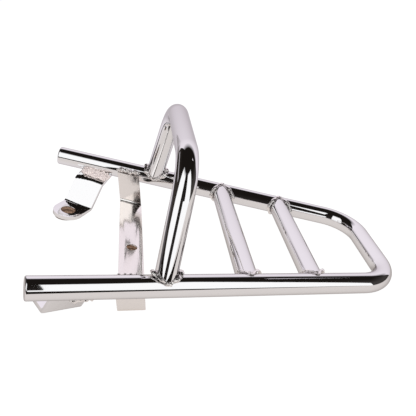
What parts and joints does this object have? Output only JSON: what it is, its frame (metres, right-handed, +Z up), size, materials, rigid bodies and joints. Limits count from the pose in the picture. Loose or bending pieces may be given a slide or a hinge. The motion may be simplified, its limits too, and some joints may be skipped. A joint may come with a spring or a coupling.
{
  "type": "motorcycle luggage rack",
  "caption": "Chrome tube luggage rack with tapered side rails, cross tubes, an upright grab hoop, a bolt-on fender strap and bent mounting tabs.",
  "frame": {"origin": "centre of the fender strap's bolt hole, on the underside of the strap", "axes": "+X to the rear of the motorcycle, +Y to its right, +Z up, square to the plane of the rails"},
  "size_m": [0.3365, 0.267, 0.1475],
  "materials": {
    "tube_chrome": "polished",
    "plate_chrome": "polished",
    "weld_chrome": "polished over rippled weld"
  },
  "bodies": {
    "root": {"side_loop_tube": "tube_chrome", "end_cap_left": "tube_chrome", "end_cap_right": "tube_chrome", "grab_hoop": "tube_chrome", "front_cross_tube": "tube_chrome", "rear_cross_tube": "tube_chrome", "fender_strap": "plate_chrome", "mount_tab_left": "plate_chrome", "mount_tab_right": "plate_chrome", "hoop_weld_left": "weld_chrome", "hoop_weld_right": "weld_chrome", "front_cross_weld_left": "weld_chrome", "front_cross_weld_right": "weld_chrome", "rear_cross_weld_left": "weld_chrome", "rear_cross_weld_right": "weld_chrome", "strap_weld_left": "weld_chrome", "strap_weld_right": "weld_chrome", "tab_top_weld_left": "weld_chrome", "tab_top_weld_right": "weld_chrome", "tab_under_weld_left": "weld_chrome", "tab_under_weld_right": "weld_chrome"}
  },
  "joints": []
}
